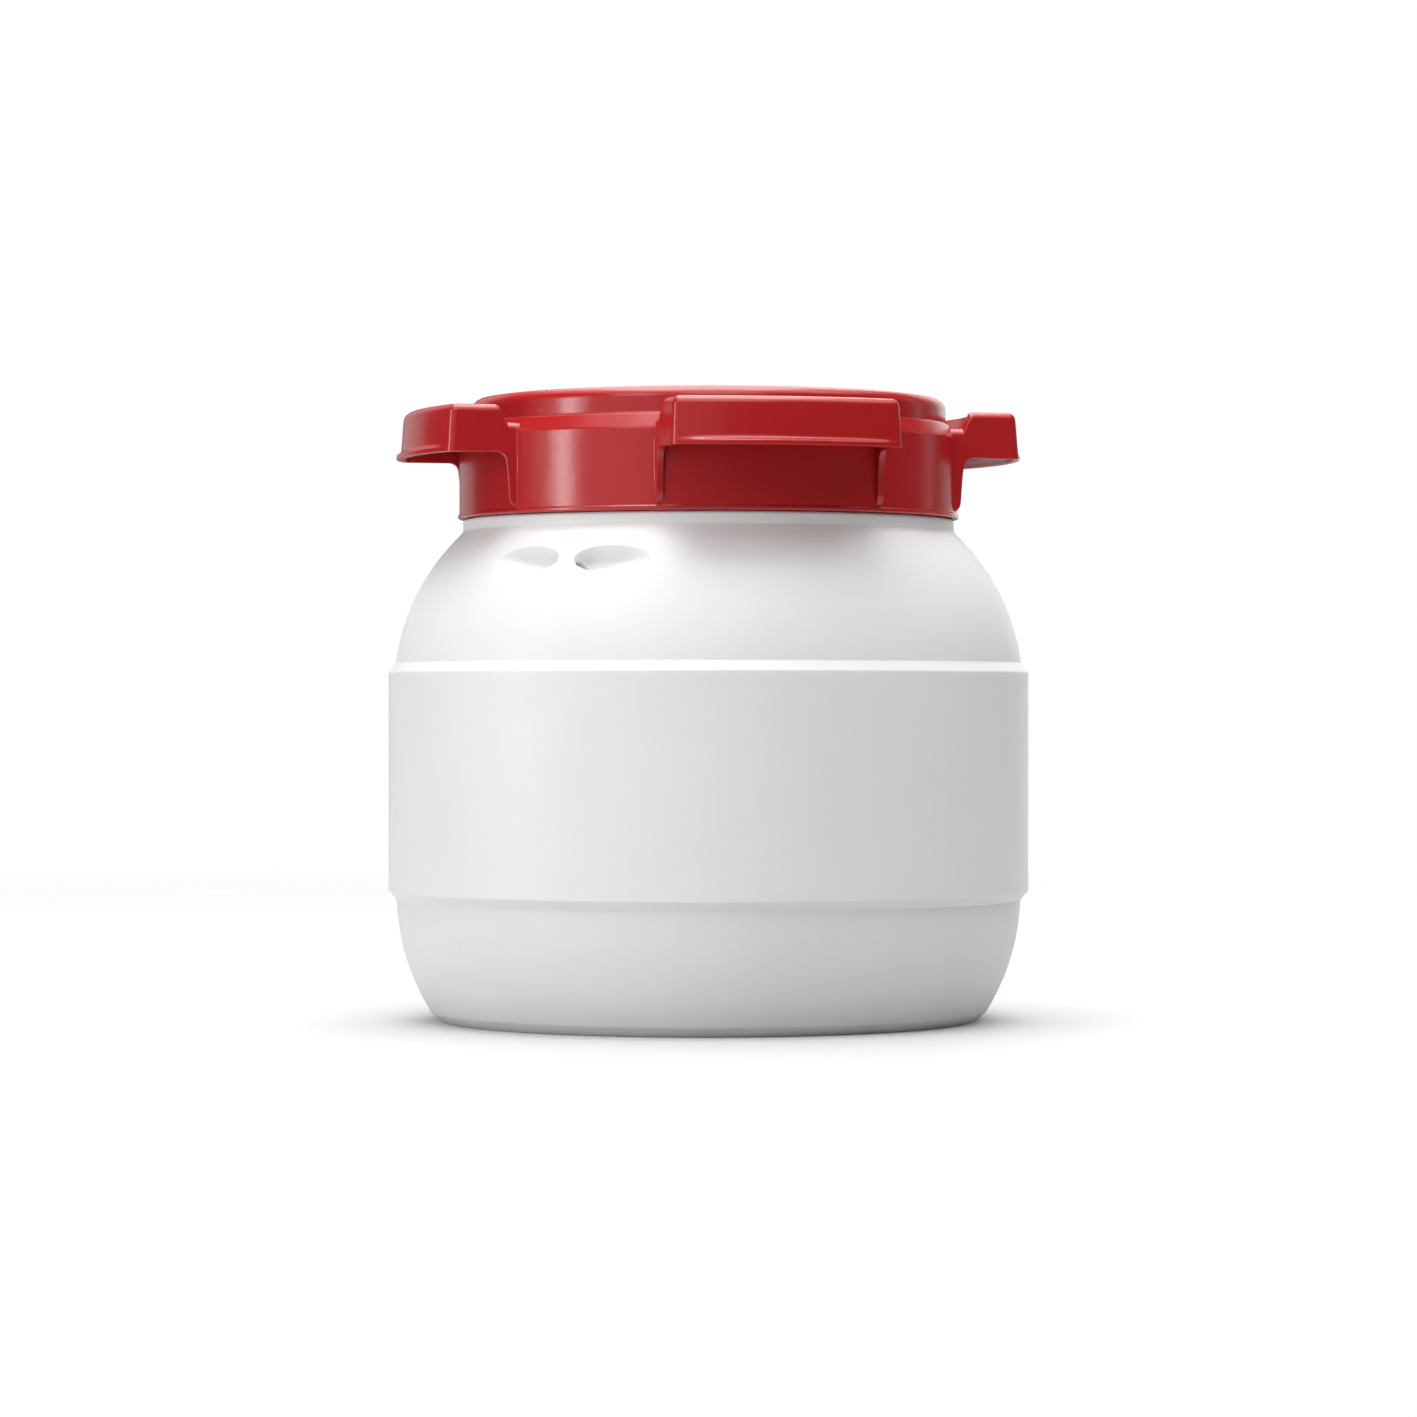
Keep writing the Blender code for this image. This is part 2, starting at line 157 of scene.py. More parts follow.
def between(values, limits):
    return (values > limits[0]) & (values < limits[1])


def mesh_object(name, vertices, faces):
    """A named object from millimetre points, cleaned up and with its faces turned outwards."""
    mesh = bpy.data.meshes.new(name)
    mesh.from_pydata([tuple(point) for point in np.asarray(vertices, float) * MM], [], faces)
    builder = bmesh.new()
    builder.from_mesh(mesh)
    bmesh.ops.remove_doubles(builder, verts=builder.verts, dist=2e-6)
    bmesh.ops.dissolve_degenerate(builder, edges=builder.edges, dist=1e-7)
    bmesh.ops.recalc_face_normals(builder, faces=builder.faces)
    builder.to_mesh(mesh)
    builder.free()
    thing = bpy.data.objects.new(name, mesh)
    bpy.context.scene.collection.objects.link(thing)
    return thing


def arc(centre, radius, start, end, steps):
    """Points of an arc, from angle start to angle end in radians."""
    turns = np.linspace(start, end, steps + 1)
    return [(centre[0] + radius * math.cos(t), centre[1] + radius * math.sin(t)) for t in turns]


def arc_between(centre, radius, low, high, steps):
    """An outward-facing arc from height low to height high."""
    return arc(
        centre,
        radius,
        math.asin((low - centre[1]) / radius),
        math.asin((high - centre[1]) / radius),
        steps,
    )


def rounded(corners, steps=5):
    """A line through corners (radius, height) or (radius, height, fillet), with its fillets drawn."""
    line = []
    for index, corner in enumerate(corners):
        point = Vector(corner[:2])
        fillet = corner[2] if len(corner) > 2 else 0.0
        if fillet <= 0.0 or index in (0, len(corners) - 1):
            line.append(tuple(point))
            continue
        before = Vector(corners[index - 1][:2]) - point
        after = Vector(corners[index + 1][:2]) - point
        half = before.angle(after) / 2.0
        tangent = min(fillet / math.tan(half), 0.48 * before.length, 0.48 * after.length)
        start = point + before.normalized() * tangent
        end = point + after.normalized() * tangent
        centre = point + (before.normalized() + after.normalized()).normalized() * (
            tangent / math.cos(half)
        )
        from_centre, to_centre = start - centre, end - centre
        sweep = from_centre.angle_signed(to_centre)
        for step in range(steps + 1):
            spin = Matrix.Rotation(-sweep * step / steps, 2)
            line.append(tuple(centre + spin @ from_centre))
    return line


def turned_points(line, angles):
    """Rows of points, one row for each angle, from a (radius, height) line."""
    line = np.asarray(line, float)
    angles = np.asarray(angles, float)[:, None]
    out = np.empty((len(angles), len(line), 3))
    out[:, :, 0] = line[None, :, 0] * np.sin(angles)
    out[:, :, 1] = -line[None, :, 0] * np.cos(angles)
    out[:, :, 2] = line[None, :, 1]
    return out


def turned_faces(columns, rows, closed_line):
    """Faces of a full turn. An open line is one that starts and ends on the axis."""
    faces = []
    last = rows if closed_line else rows - 1
    for column in range(columns):
        here, there = column * rows, (column + 1) % columns * rows
        for row in range(last):
            up = (row + 1) % rows
            faces.append((here + row, there + row, there + up, here + up))
    return faces


def turned(name, line, angles, closed_line=False):
    points = turned_points(line, angles)
    faces = turned_faces(len(angles), len(line), closed_line)
    return mesh_object(name, points.reshape(-1, 3), faces)


def boolean(target, operation, tool):
    """Joins the tool to the target, or cuts it away, and removes the tool."""
    modifier = target.modifiers.new(operation.lower(), "BOOLEAN")
    modifier.operation = operation
    modifier.solver = "EXACT"
    modifier.object = tool
    graph = bpy.context.evaluated_depsgraph_get()
    mesh = bpy.data.meshes.new_from_object(target.evaluated_get(graph))
    target.modifiers.remove(modifier)
    target.data = mesh
    bpy.data.objects.remove(tool, do_unlink=True)


def joined(name, things):
    """One object from several separate solids."""
    builder = bmesh.new()
    for thing in things:
        thing.data.transform(thing.matrix_basis)
        builder.from_mesh(thing.data)
        bpy.data.objects.remove(thing, do_unlink=True)
    mesh = bpy.data.meshes.new(name)
    builder.to_mesh(mesh)
    builder.free()
    one = bpy.data.objects.new(name, mesh)
    bpy.context.scene.collection.objects.link(one)
    return one


def smooth(thing, sharp_degrees=38.0):
    """Shades a piece smooth, keeping the edges that turn by more than sharp_degrees."""
    thing.data.shade_smooth()
    thing.data.set_sharp_from_angle(angle=math.radians(sharp_degrees))
    weighted = thing.modifiers.new("weighted_normals", "WEIGHTED_NORMAL")
    weighted.keep_sharp = True
    weighted.weight = 60


def tube_faces(stations, around):
    """Faces of a closed tube: quads between its stations and a flat face at each end."""
    faces = []
    for station in range(stations - 1):
        here, there = station * around, (station + 1) * around
        for step in range(around):
            other = (step + 1) % around
            faces.append((here + step, here + other, there + other, there + step))
    faces.append(tuple(range(around)))
    faces.append(tuple((stations - 1) * around + step for step in range(around)))
    return faces


def thread_ridge(name, base, crest, bottom, start_angle):
    """One helical ridge with a rounded crest, rising counter-clockwise seen from above."""
    outwards = 1.0 if crest > base else -1.0
    root = base - outwards * 0.7
    # How far up from the ridge's middle, and how much of the way from its root to its crest.
    section = [(-1.75, 0.0), (-1.4, 0.28), (-1.0, 0.72), (-0.62, 0.95), (-0.3, 1.0)]
    section = section + [(-offset, share) for offset, share in reversed(section)]
    vertices = []
    for step in range(THREAD_STEPS + 1):
        turn = THREAD_SWEEP * step / THREAD_STEPS
        to_end = min(turn, THREAD_SWEEP - turn)
        height = 0.12 + 0.88 * float(smoothstep(0.0, THREAD_RUN_OUT, to_end))
        middle = bottom + THREAD_LEAD * turn / math.tau
        angle = start_angle + turn
        for offset, share in section:
            radius = root + (base + (crest - base) * height - root) * share
            vertices.append(
                (radius * math.sin(angle), -radius * math.cos(angle), middle + offset)
            )
    return mesh_object(name, vertices, tube_faces(THREAD_STEPS + 1, len(section)))


# --- jar body ---------------------------------------------------------------------------------
def outer_line():
    """The outside from the middle of the base to the rim."""
    base = rounded(
        [
            (0.0, PUSH_UP),
            (70.8, PUSH_UP, 2.0),
            (74.6, 0.15, 1.6),
            (76.4, 0.0, 1.0),
            (79.3, 0.0, 1.8),
            (82.7, 2.9, 2.2),
            arc_between(BOWL_CENTRE, BOWL_RADIUS, 4.6, 6.0, 1)[0],
        ],
        4,
    )
    bowl = arc_between(BOWL_CENTRE, BOWL_RADIUS, 4.8, LOW_CHAMFER - 0.9, 22)
    band = rounded(
        [
            arc_between(BOWL_CENTRE, BOWL_RADIUS, 30.0, LOW_CHAMFER - 0.8, 1)[1],
            (92.62, LOW_CHAMFER, 0.8),
            (BAND_RADIUS, BAND_BOTTOM, 1.1),
            (BAND_RADIUS, BAND_TOP, 1.1),
            (92.84, HIGH_CHAMFER, 0.9),
            arc_between(SHOULDER_CENTRE, SHOULDER_RADIUS, HIGH_CHAMFER + 0.9, 120.0, 1)[0],
        ],
        6,
    )
    shoulder = (
        arc_between(SHOULDER_CENTRE, SHOULDER_RADIUS, HIGH_CHAMFER + 1.2, 125.6, 12)
        + arc_between(SHOULDER_CENTRE, SHOULDER_RADIUS, 126.0, 141.4, 52)
        + arc_between(SHOULDER_CENTRE, SHOULDER_RADIUS, 141.9, 143.6, 2)
    )
    neck = rounded(
        [
            arc_between(SHOULDER_CENTRE, SHOULDER_RADIUS, 143.9, 144.2, 1)[0],
            (COLLAR_RADIUS, 144.9, 0.7),
            (COLLAR_RADIUS, COLLAR_TOP, 1.0),
            (NECK_RADIUS, COLLAR_TOP, 1.0),
            (NECK_RADIUS, RIM_HEIGHT, 0.7),
            (NECK_BORE, RIM_HEIGHT, 0.7),
            (NECK_BORE, RIM_HEIGHT - 5.0),
        ],
        5,
    )
    return base[:-1] + bowl + band[1:-1] + shoulder + neck[1:-1]


def inner_line():
    """The inside, from under the rim down to the middle of the floor."""
    inner_shoulder = SHOULDER_RADIUS - WALL
    start = math.acos((NECK_BORE - SHOULDER_CENTRE[0]) / inner_shoulder)
    low = math.asin((105.6 - SHOULDER_CENTRE[1]) / inner_shoulder)
    neck = [(NECK_BORE, 170.0), (NECK_BORE, 160.0), (NECK_BORE, 152.5)]
    shoulder = arc(SHOULDER_CENTRE, inner_shoulder, start, low, 20)
    band = [(92.9, 103.6), (92.9, 102.2), (92.9, 70.0), (92.9, 39.6), (92.8, 38.4)]
    bowl = arc_between(BOWL_CENTRE, BOWL_RADIUS - WALL, 36.6, 5.9, 12)
    floor = rounded(
        [
            bowl[-1],
            (80.2, 2.7, 2.0),
            (75.6, 2.5, 1.5),
            (72.0, FLOOR_HEIGHT, 2.0),
            (0.0, FLOOR_HEIGHT),
        ],
        3,
    )
    return neck + shoulder + band + bowl + floor[1:]


def eye_place(points):
    """How far points are along the girth and up the slope from the seal eye's middle."""
    angle = np.arctan2(points[..., 0], -points[..., 1])
    radius = np.hypot(points[..., 0], points[..., 1])
    slope = np.arctan2(points[..., 2] - SHOULDER_CENTRE[1], radius - SHOULDER_CENTRE[0])
    middle = math.asin((EYE_HEIGHT - SHOULDER_CENTRE[1]) / SHOULDER_RADIUS)
    return (angle - EYE_ANGLE) * radius, (slope - middle) * SHOULDER_RADIUS


def dimple_depth(along, up):
    """Depth of a finger dimple: steep at its inner end and upper edge, fading out below.

    A point's ratio is how far it lies from the deepest point towards the outline. The fade is soft
    where its heading from the deepest point, in degrees, is between the two soft ranges.
    """
    along = np.abs(along)
    cosine, sine = math.cos(DIMPLE_TILT), math.sin(DIMPLE_TILT)

    def scaled(x, y):
        """A point as a share of the outline's reach, which is fuller below on the outer side."""
        x, y = x - DIMPLE_CENTRE[0], y - DIMPLE_CENTRE[1]
        x, y = x * cosine + y * sine, y * cosine - x * sine
        low = smoothstep(0.0, 3.0, -y)
        inner = 1.0 - smoothstep(-11.0, 4.0, x)
        half_x = DIMPLE_HALF[0] + DIMPLE_OUTER_SWELL * low * smoothstep(0.0, 6.0, x)
        half_y = DIMPLE_HALF[1] + low * (DIMPLE_LOW_SWELL - DIMPLE_INNER_PINCH * inner)
        return x / half_x, y / half_y

    x, y = scaled(along, up)
    deep_x, deep_y = scaled(*DIMPLE_DEEPEST)
    ray_x, ray_y = x - deep_x, y - deep_y
    square = ray_x**2 + ray_y**2 + 1e-9
    mix = deep_x * ray_x + deep_y * ray_y
    reach = (-mix + np.sqrt(mix**2 + square * (1.0 - deep_x**2 - deep_y**2))) / square
    ratio = np.clip(1.0 / reach, 0.0, 1.0)
    heading = np.degrees(np.arctan2(ray_y * DIMPLE_HALF[1], ray_x * DIMPLE_HALF[0]))
    crisp = np.clip(1.0 - ratio**4.0, 0.0, 1.0) ** 1.2
    soft = 1.0 - smoothstep(0.0, 1.0, ratio)
    weight = smoothstep(*DIMPLE_SOFT_FROM, heading) * (1.0 - smoothstep(*DIMPLE_SOFT_TO, heading))
    return DIMPLE_DEPTH * ((1.0 - weight) * crisp + weight * soft)


def backing_depth(along, up):
    """How far the inside of the wall stands in behind the whole seal eye."""
    across_share = np.abs(along) / BACKING_HALF[0]
    up_share = np.abs(up - BACKING_UP) / BACKING_HALF[1]
    ratio = (across_share**2.5 + up_share**2.5) ** 0.4
    return BACKING_DEPTH * (1.0 - smoothstep(0.5, 1.0, ratio))


def push_in(points, depth, near):
    """Moves points of the shoulder inwards, square to it, by depth where near is true."""
    radius = np.hypot(points[..., 0], points[..., 1])
    out, up = radius - SHOULDER_CENTRE[0], points[..., 2] - SHOULDER_CENTRE[1]
    length = np.hypot(out, up)
    depth = np.where(near, depth, 0.0)
    share = (radius - depth * out / length) / np.maximum(radius, 1e-9)
    points[..., 0] *= share
    points[..., 1] *= share
    points[..., 2] -= depth * up / length


def eye_hole():
    """A round bore through the bridge between the dimples."""
    slope = math.asin((EYE_HEIGHT - SHOULDER_CENTRE[1]) / SHOULDER_RADIUS)
    radius = SHOULDER_CENTRE[0] + SHOULDER_RADIUS * math.cos(slope)
    place = (
        Matrix.Rotation(EYE_ANGLE, 4, "Z")
        @ Matrix.Translation((0.0, -radius, EYE_HEIGHT))
        @ Matrix.Rotation(math.pi / 2 - slope, 4, "X")
    )
    vertices = []
    around = 28
    stations = [(-7.5, 1.0), (-4.0, 1.0), (0.0, 0.94), (4.0, 1.0), (7.5, 1.0)]
    for along, swell in stations:
        for step in range(around):
            turn = math.tau * step / around
            spot = Vector(
                (
                    along,
                    EYE_HOLE_UP + EYE_HOLE_RADIUS * swell * math.cos(turn),
                    EYE_HOLE_DEPTH + EYE_HOLE_RADIUS * swell * math.sin(turn),
                )
            )
            vertices.append(tuple(place @ spot))
    return mesh_object("eye_hole", vertices, tube_faces(len(stations), around))


def jar_angles():
    """Angles round the jar: close together at the seal eye and at the two mould lines."""
    eye_start, eye_end = EYE_BEARINGS
    near_seam = (-0.9, -0.45, -0.2, 0.0, 0.2, 0.45, 0.9)
    degrees = set(np.round(np.arange(eye_start, eye_end + 1e-6, FINE_STEP), 4))
    degrees |= {seam + step for seam in SEAM_BEARINGS for step in near_seam}
    for bearing in np.arange(eye_end, eye_start + 360.0 + 1e-6, COARSE_STEP):
        angle = (bearing + 180.0) % 360.0 - 180.0
        if all(abs(angle - seam) > 1.2 for seam in SEAM_BEARINGS):
            degrees.add(round(float(angle), 4))
    ordered = sorted(degrees)
    kept = [ordered[0]]
    for angle in ordered[1:]:
        if angle - kept[-1] > LEAST_STEP:
            kept.append(angle)
    return np.radians(kept)


def raise_mould_lines(points, angles):
    """Raises the two faint ridges where the mould's halves met, except on the label band."""
    from_seam = np.minimum(np.abs(angles - math.pi / 2), np.abs(angles + math.pi / 2))
    ridge = SEAM_HEIGHT * np.exp(-((from_seam / SEAM_WIDTH) ** 2))
    radius = np.hypot(points[..., 0], points[..., 1])
    on_bowl_or_shoulder = (radius > SEAM_INNER_RADIUS) & (radius <= BAND_RADIUS - 0.5)
    swell = 1.0 + ridge[:, None] * on_bowl_or_shoulder / np.maximum(radius, 1.0)
    points[..., 0] *= swell
    points[..., 1] *= swell


def make_jar():
    outer, inner = outer_line(), inner_line()
    angles = jar_angles()
    points = turned_points(outer + inner, angles)
    outside, inside = points[:, : len(outer)], points[:, len(outer) :]
    along, up = eye_place(outside)
    near_eye = between(outside[..., 2], EYE_ZONE) & (np.abs(along) < EYE_HALF_WIDTH)
    push_in(outside, dimple_depth(along, up), near_eye)
    along, up = eye_place(inside)
    push_in(inside, backing_depth(along, up), between(inside[..., 2], BACKING_ZONE))
    raise_mould_lines(outside, angles)
    faces = turned_faces(len(angles), points.shape[1], False)
    jar = mesh_object("jar", points.reshape(-1, 3), faces)
    ridges = [
        thread_ridge(
            f"ridge_{start}",
            NECK_RADIUS,
            NECK_THREAD_CREST,
            NECK_THREAD_BOTTOM,
            THREAD_FIRST_ANGLE + start * math.tau / THREAD_STARTS,
        )
        for start in range(THREAD_STARTS)
    ]
    boolean(jar, "UNION", joined("ridges", ridges))
    boolean(jar, "DIFFERENCE", eye_hole())
    smooth(jar)
    return jar


# --- lid --------------------------------------------------------------------------------------
def lid_line():
    """The lid's section: across the top, down its outside and back up its inside."""
    return rounded(
        [
            (0.0, 182.9),
            (57.0, 182.9, 0.6),
            (58.6, LID_TOP, 0.8),
            (70.5, LID_TOP, 3.3),
            (70.5, 176.4, 0.5),
            (71.5, 176.4, 1.1),
            (SKIRT_RADIUS, 172.1, 1.7),
            (SKIRT_RADIUS, 150.1, 0.3),
            (BEAD_RADIUS, 149.7, 0.4),
            (BEAD_RADIUS, LID_FOOT, 0.55),
            (LID_BORE, LID_FOOT, 0.4),
            (LID_BORE, 171.6, 0.6),
            (69.4, 175.9, 0.6),
            (68.5, 177.2, 0.4),
            (68.5, 181.6, 0.3),
            (63.4, 181.6, 0.3),
            (63.4, 176.3, 0.4),
            (61.8, 176.3, 0.4),
            (61.8, 180.7, 0.8),
            (0.0, 180.7),
        ],
        5,
    )


def reach(radius, across):
    return np.sqrt(radius**2 - across**2)


def rib_foot():
    """The lower edge of a lug's side wall: (out, height) from the skirt's root to the flat part."""
    foot = [
        (64.8, 150.3),
        (65.93, 150.35),
        (66.05, 150.37),
        (66.2, 150.4),
        (66.39, 150.46),
        (66.58, 150.55),
        (66.85, 150.72),
        (67.2, 151.05),
        (67.6, 151.6),
        (67.9, 152.4),
        (68.05, 153.6),
        (68.15, 155.5),
        (68.35, 158.5),
        (68.6, 161.3),
        (68.85, 163.1),
    ]
    bend = arc((71.85, 163.1), 3.0, math.pi, math.pi / 2, 6)
    return foot + bend[1:]


def lug_slope():
    """Radii and heights of a lug's top line: a ledge near the axis, a slope and the flat top."""
    corners = [(60.0, LUG_LEDGE), (75.4, LUG_LEDGE, 0.8), (77.6, LUG_TOP, 1.3), (95.0, LUG_TOP)]
    line = rounded(corners, 6)
    return [point[0] for point in line], [point[1] for point in line]


def wall_columns():
    """The columns of a lug's side wall, from its root in the skirt out to the corner."""
    slope_radii, slope_heights = lug_slope()
    foot = rib_foot()
    foot_outs = [point[0] for point in foot]
    foot_heights = [point[1] for point in foot]
    beyond_foot = {72.4, 72.86, 73.2, 73.6, 74.1, 75.3, 76.8, 78.4, 80.2, 82.0}
    walls = []
    for out in sorted({round(foot_out, 3) for foot_out in foot_outs} | beyond_foot):
        gap = min(max(0.0, ROOT_FILLET_START - out), 0.95 * ROOT_FILLET)
        walls.append(
            {
                "at": (LUG_INSET, out),
                "facing": (1.0, 0.0),
                "top": float(np.interp(math.hypot(LUG_INSET, out), slope_radii, slope_heights)),
                "bottom": float(np.interp(out, foot_outs, foot_heights)),
                "flare": ROOT_FILLET - math.sqrt(ROOT_FILLET**2 - gap**2),
            }
        )
    return walls


def plain_column(at, facing):
    return {"at": at, "facing": facing, "top": LUG_TOP, "bottom": LUG_BOTTOM, "flare": 0.0}


def mirrored_column(column):
    (across, out), (nx, ny) = column["at"], column["facing"]
    return {**column, "at": (-across, out), "facing": (-nx, ny), "flare": -column["flare"]}


def lug_columns():
    """The columns of a lug's wall: its left side, its face and its right side."""
    curve = LUG_FACE_CURVE - LUG_EDGE
    face_centre = LUG_FACE - LUG_FACE_CURVE
    corner = (LUG_INSET, face_centre + math.sqrt(curve**2 - LUG_INSET**2))
    tilt = math.atan2(LUG_INSET, corner[1] - face_centre)
    right = wall_columns() + [plain_column(corner, (1.0, 0.0))]
    for step in range(1, CORNER_STEPS):
        turn = (math.pi / 2 - tilt) * (1.0 - step / CORNER_STEPS) + tilt
        right.append(plain_column(corner, (math.sin(turn), math.cos(turn))))
    faces = []
    for across in np.linspace(-LUG_INSET, LUG_INSET, FACE_COLUMNS):
        out = face_centre + math.sqrt(curve**2 - across**2)
        facing = (across / curve, (out - face_centre) / curve)
        faces.append(plain_column((float(across), out), facing))
    return [mirrored_column(column) for column in right], faces, right


# Rows up a lug's wall: how much of the lip, how far out besides, and how high above the foot.
OUTER_FOOT = [
    (1.0, -0.42, 0.0),
    (1.0, -0.12, 0.08),
    (1.0, 0.0, 0.34),
    (1.0, 0.0, 1.02),
    (0.97, 0.0, 1.26),
    (0.86, 0.0, 1.44),
    (0.34, 0.0, 1.88),
    (0.16, 0.0, 2.10),
    (0.05, 0.0, 2.42),
    (0.0, 0.0, 3.0),
]
INNER_FOOT = [
    (0.45, 0.16, 0.0),
    (0.44, 0.04, 0.06),
    (0.42, 0.0, 0.34),
    (0.36, 0.0, 0.8),
    (0.30, 0.0, 1.1),
    (0.24, 0.0, 1.4),
    (0.15, 0.0, 1.8),
    (0.08, 0.0, 2.1),
    (0.02, 0.0, 2.5),
    (0.0, 0.0, 3.0),
]


def lip_amount(column):
    """How far the lip stands out from the face, fading away before the corners."""
    across, out = column["at"]
    if abs(column["facing"][0]) > 0.95:
        return 0.0
    edge = LUG_EDGE + LUG_FACE_DRAFT
    face_x = across + edge * column["facing"][0]
    face_y = out + edge * column["facing"][1]
    gap = LIP_RADIUS - math.hypot(face_x, face_y)
    fade = float(smoothstep(0.0, LIP_FADE, LUG_HALF_WIDTH - abs(face_x)))
    return max(0.0, gap) * fade


def lug_layer(columns, edge, drop, foot_rows, flare_share):
    """Points of the columns, from the foot to just below the top edge's end."""
    foot_share = ROOT_FILLET_FOOT_SHARE
    points = []
    for column in columns:
        (across, out), (nx, ny) = column["at"], column["facing"]
        top, bottom = column["top"] - drop, column["bottom"]
        lip = lip_amount(column)
        draft_size = LUG_SIDE_DRAFT * abs(nx) + LUG_FACE_DRAFT * ny
        low, high = bottom + foot_rows[-1][2], top - edge
        rows = [(lip * share + more, bottom + rise, 1.0) for share, more, rise in foot_rows]
        rows += [
            (0.0, low + (high - low) * step / WALL_ROWS, 1.0) for step in range(1, WALL_ROWS + 1)
        ]
        for step in range(1, EDGE_ROWS):
            turn = math.pi / 2 * step / EDGE_ROWS
            rows.append((0.0, high + edge * math.sin(turn), math.cos(turn)))
        line = []
        for more, height, shrink in rows:
            draft = draft_size * max(0.0, LUG_TOP - height) / (LUG_TOP - LUG_BOTTOM)
            draft = min(draft, draft_size) - RIB_TAPER * abs(nx) * max(0.0, LUG_BOTTOM - height)
            away = (edge + draft + more) * shrink
            flare = flare_share * column["flare"]
            flare *= 1.0 - float(smoothstep(*ROOT_FILLET_TOP, height))
            flare *= foot_share + (1.0 - foot_share) * float(smoothstep(*ROOT_FILLET_FOOT, height))
            line.append((across + away * nx + flare, out + away * ny, height))
        points.append(line)
    return np.array(points)


def lug_roof(wall_outs, faces, drop):
    """The grid over a lug's top, from the skirt's root out to the start of the face's rounding.

    Its rows follow circles round the jar's axis, and past ROOF_ARC_RADIUS they turn into the face.
    """
    slope_radii, slope_heights = lug_slope()
    across = np.array([column["at"][0] for column in faces])
    face_out = np.array([column["at"][1] for column in faces])
    rows = []
    for out in wall_outs + [None]:
        if out is None:
            here = face_out
        elif math.hypot(LUG_INSET, out) <= ROOF_ARC_RADIUS:
            here = reach(math.hypot(LUG_INSET, out), across)
        else:
            start = float(reach(ROOF_ARC_RADIUS, LUG_INSET))
            share = (out - start) / (face_out[-1] - start)
            here = reach(ROOF_ARC_RADIUS, across) * (1.0 - share) + face_out * share
        height = np.interp(np.hypot(across, here), slope_radii, slope_heights) - drop
        rows.append(np.stack([across, here, height], axis=1))
    return np.array(rows)


def layer_faces(side_start, roof_start, rows, roof_shape, sides):
    """Faces of one layer of a lug: its wall, the end of the wall's rounding and its roof."""
    roof_rows, roof_columns = roof_shape

    def crest(column):
        """The roof's point that a column of the wall ends at."""
        if column < sides:
            row, place = min(column, roof_rows - 1), 0
        elif column < sides + roof_columns:
            row, place = roof_rows - 1, column - sides
        else:
            mirrored = 2 * sides + roof_columns - 1 - column
            row, place = min(mirrored, roof_rows - 1), roof_columns - 1
        return roof_start + row * roof_columns + place

    cells = []
    for column in range(2 * sides + roof_columns - 1):
        here = side_start + column * rows
        there = here + rows
        for row in range(rows - 1):
            cells.append((here + row, there + row, there + row + 1, here + row + 1))
        corners = [here + rows - 1, there + rows - 1, crest(column + 1), crest(column)]
        cells.append(tuple(dict.fromkeys(corners)))
    for row in range(roof_rows - 1):
        here = roof_start + row * roof_columns
        there = here + roof_columns
        for column in range(roof_columns - 1):
            cells.append((here + column, here + column + 1, there + column + 1, there + column))
    return cells


def closing_faces(outer_starts, inner_starts, rows, columns, roof_columns):
    """Faces between a lug's two layers: along its foot, then up and across its open root."""
    (outer_side, outer_roof), (inner_side, inner_roof) = outer_starts, inner_starts
    cells = []
    for column in range(columns - 1):
        here, there = column * rows, (column + 1) * rows
        cells.append((outer_side + here, inner_side + here, inner_side + there, outer_side + there))
    for last, crest in ((0, 0), (columns - 1, roof_columns - 1)):
        for row in range(rows - 1):
            outer, inner = outer_side + last * rows + row, inner_side + last * rows + row
            cells.append((outer, outer + 1, inner + 1, inner))
        here = last * rows + rows - 1
        cells.append((outer_side + here, outer_roof + crest, inner_roof + crest, inner_side + here))
    for column in range(roof_columns - 1):
        outer, inner = outer_roof + column, inner_roof + column
        cells.append((outer, outer + 1, inner + 1, inner))
    return cells


def turned_to(points, angle):
    """Points of a lug's own frame (across, out, height), turned to the lug's place on the jar."""
    cosine, sine = math.cos(angle), math.sin(angle)
    placed = np.empty_like(points)
    placed[:, 0] = points[:, 0] * cosine + points[:, 1] * sine
    placed[:, 1] = points[:, 0] * sine - points[:, 1] * cosine
    placed[:, 2] = points[:, 2]
    return placed


def make_lug(name, angle):
    """A hollow lug with its two ribs, closed all round; its root lies inside the skirt's wall."""
    left, faces, right = lug_columns()
    columns = left + faces + right[::-1]
    wall_outs = [column["at"][1] for column in wall_columns()]
    vertices, cells, starts = [], [], []
    for edge, drop, foot_rows, flare_share in (
        (LUG_EDGE, 0.0, OUTER_FOOT, 1.0),
        (LUG_EDGE - LUG_WALL, LUG_ROOF, INNER_FOOT, 0.0),
    ):
        sides = lug_layer(columns, edge, drop, foot_rows, flare_share)
        roof = lug_roof(wall_outs, faces, drop)
        rows = sides.shape[1]
        side_start = len(vertices)
        roof_start = side_start + len(columns) * rows
        vertices += [tuple(point) for point in sides.reshape(-1, 3)]
        vertices += [tuple(point) for point in roof.reshape(-1, 3)]
        cells += layer_faces(side_start, roof_start, rows, roof.shape[:2], len(left))
        starts.append((side_start, roof_start))
    cells += closing_faces(*starts, rows, len(columns), len(faces))
    return mesh_object(name, turned_to(np.array(vertices), angle), cells)


